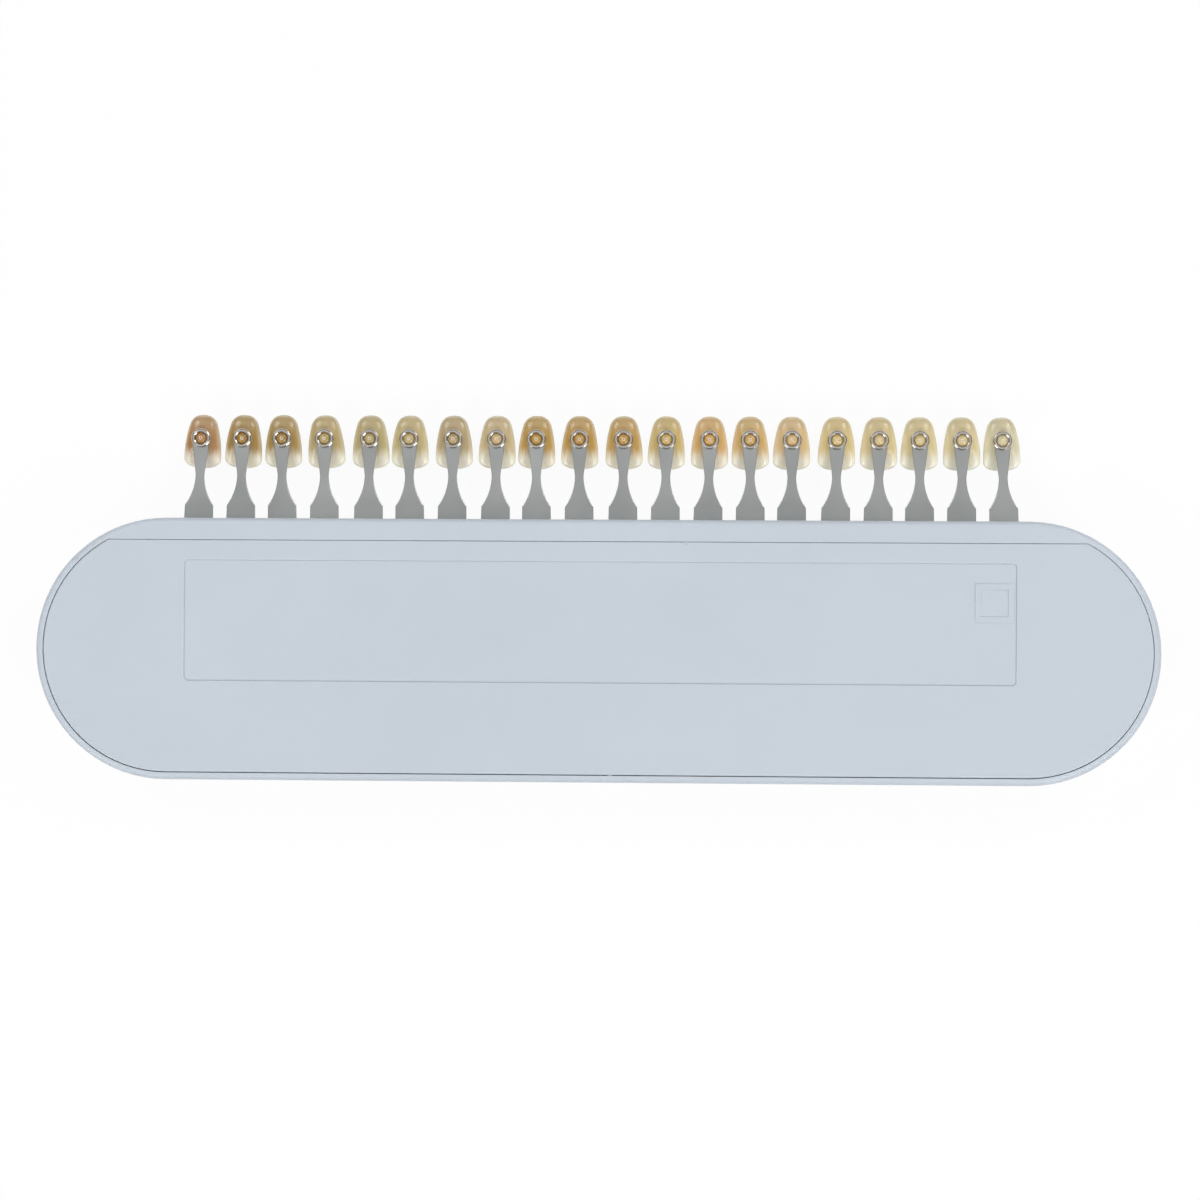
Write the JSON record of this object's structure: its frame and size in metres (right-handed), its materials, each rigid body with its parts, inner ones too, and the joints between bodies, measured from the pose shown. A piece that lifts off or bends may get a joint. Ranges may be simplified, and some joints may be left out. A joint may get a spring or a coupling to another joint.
{
  "type": "dental shade guide",
  "caption": "Flat stadium-shaped holder with a row of pull-out steel tabs, each carrying a sample tooth in its own shade.",
  "frame": {"origin": "centre of the holder's flat front face, on which it lies", "axes": "+X along the holder towards the lightest shade, +Y towards the teeth, +Z out of the back cover"},
  "size_m": [0.225, 0.0738, 0.014],
  "materials": {
    "case_plastic": "satin",
    "rail_plastic": "satin",
    "tab_steel": "satin",
    "shade_01": "gloss",
    "shade_02": "gloss",
    "shade_03": "gloss",
    "shade_04": "gloss",
    "shade_05": "gloss",
    "shade_06": "gloss",
    "shade_07": "gloss",
    "shade_08": "gloss",
    "shade_09": "gloss",
    "shade_10": "gloss",
    "shade_11": "gloss",
    "shade_12": "gloss",
    "shade_13": "gloss",
    "shade_14": "gloss",
    "shade_15": "gloss",
    "shade_16": "gloss",
    "shade_17": "gloss",
    "shade_18": "gloss",
    "shade_19": "gloss",
    "shade_20": "gloss"
  },
  "bodies": {
    "case": {"front_shell": "case_plastic", "back_cover": "case_plastic", "slot_rail": "rail_plastic"},
    "shade_tab_01": {"tab_01": "tab_steel", "tooth_01": "shade_01"},
    "shade_tab_02": {"tab_02": "tab_steel", "tooth_02": "shade_02"},
    "shade_tab_03": {"tab_03": "tab_steel", "tooth_03": "shade_03"},
    "shade_tab_04": {"tab_04": "tab_steel", "tooth_04": "shade_04"},
    "shade_tab_05": {"tab_05": "tab_steel", "tooth_05": "shade_05"},
    "shade_tab_06": {"tab_06": "tab_steel", "tooth_06": "shade_06"},
    "shade_tab_07": {"tab_07": "tab_steel", "tooth_07": "shade_07"},
    "shade_tab_08": {"tab_08": "tab_steel", "tooth_08": "shade_08"},
    "shade_tab_09": {"tab_09": "tab_steel", "tooth_09": "shade_09"},
    "shade_tab_10": {"tab_10": "tab_steel", "tooth_10": "shade_10"},
    "shade_tab_11": {"tab_11": "tab_steel", "tooth_11": "shade_11"},
    "shade_tab_12": {"tab_12": "tab_steel", "tooth_12": "shade_12"},
    "shade_tab_13": {"tab_13": "tab_steel", "tooth_13": "shade_13"},
    "shade_tab_14": {"tab_14": "tab_steel", "tooth_14": "shade_14"},
    "shade_tab_15": {"tab_15": "tab_steel", "tooth_15": "shade_15"},
    "shade_tab_16": {"tab_16": "tab_steel", "tooth_16": "shade_16"},
    "shade_tab_17": {"tab_17": "tab_steel", "tooth_17": "shade_17"},
    "shade_tab_18": {"tab_18": "tab_steel", "tooth_18": "shade_18"},
    "shade_tab_19": {"tab_19": "tab_steel", "tooth_19": "shade_19"},
    "shade_tab_20": {"tab_20": "tab_steel", "tooth_20": "shade_20"}
  },
  "joints": [
    {"name": "shade_tab_01_pull", "type": "slide", "parent": "case", "child": "shade_tab_01", "axis": [0, 1, 0], "range_m": [0, 0.02]},
    {"name": "shade_tab_02_pull", "type": "slide", "parent": "case", "child": "shade_tab_02", "axis": [0, 1, 0], "range_m": [0, 0.02]},
    {"name": "shade_tab_03_pull", "type": "slide", "parent": "case", "child": "shade_tab_03", "axis": [0, 1, 0], "range_m": [0, 0.02]},
    {"name": "shade_tab_04_pull", "type": "slide", "parent": "case", "child": "shade_tab_04", "axis": [0, 1, 0], "range_m": [0, 0.02]},
    {"name": "shade_tab_05_pull", "type": "slide", "parent": "case", "child": "shade_tab_05", "axis": [0, 1, 0], "range_m": [0, 0.02]},
    {"name": "shade_tab_06_pull", "type": "slide", "parent": "case", "child": "shade_tab_06", "axis": [0, 1, 0], "range_m": [0, 0.02]},
    {"name": "shade_tab_07_pull", "type": "slide", "parent": "case", "child": "shade_tab_07", "axis": [0, 1, 0], "range_m": [0, 0.02]},
    {"name": "shade_tab_08_pull", "type": "slide", "parent": "case", "child": "shade_tab_08", "axis": [0, 1, 0], "range_m": [0, 0.02]},
    {"name": "shade_tab_09_pull", "type": "slide", "parent": "case", "child": "shade_tab_09", "axis": [0, 1, 0], "range_m": [0, 0.02]},
    {"name": "shade_tab_10_pull", "type": "slide", "parent": "case", "child": "shade_tab_10", "axis": [0, 1, 0], "range_m": [0, 0.02]},
    {"name": "shade_tab_11_pull", "type": "slide", "parent": "case", "child": "shade_tab_11", "axis": [0, 1, 0], "range_m": [0, 0.02]},
    {"name": "shade_tab_12_pull", "type": "slide", "parent": "case", "child": "shade_tab_12", "axis": [0, 1, 0], "range_m": [0, 0.02]},
    {"name": "shade_tab_13_pull", "type": "slide", "parent": "case", "child": "shade_tab_13", "axis": [0, 1, 0], "range_m": [0, 0.02]},
    {"name": "shade_tab_14_pull", "type": "slide", "parent": "case", "child": "shade_tab_14", "axis": [0, 1, 0], "range_m": [0, 0.02]},
    {"name": "shade_tab_15_pull", "type": "slide", "parent": "case", "child": "shade_tab_15", "axis": [0, 1, 0], "range_m": [0, 0.02]},
    {"name": "shade_tab_16_pull", "type": "slide", "parent": "case", "child": "shade_tab_16", "axis": [0, 1, 0], "range_m": [0, 0.02]},
    {"name": "shade_tab_17_pull", "type": "slide", "parent": "case", "child": "shade_tab_17", "axis": [0, 1, 0], "range_m": [0, 0.02]},
    {"name": "shade_tab_18_pull", "type": "slide", "parent": "case", "child": "shade_tab_18", "axis": [0, 1, 0], "range_m": [0, 0.02]},
    {"name": "shade_tab_19_pull", "type": "slide", "parent": "case", "child": "shade_tab_19", "axis": [0, 1, 0], "range_m": [0, 0.02]},
    {"name": "shade_tab_20_pull", "type": "slide", "parent": "case", "child": "shade_tab_20", "axis": [0, 1, 0], "range_m": [0, 0.02]}
  ]
}
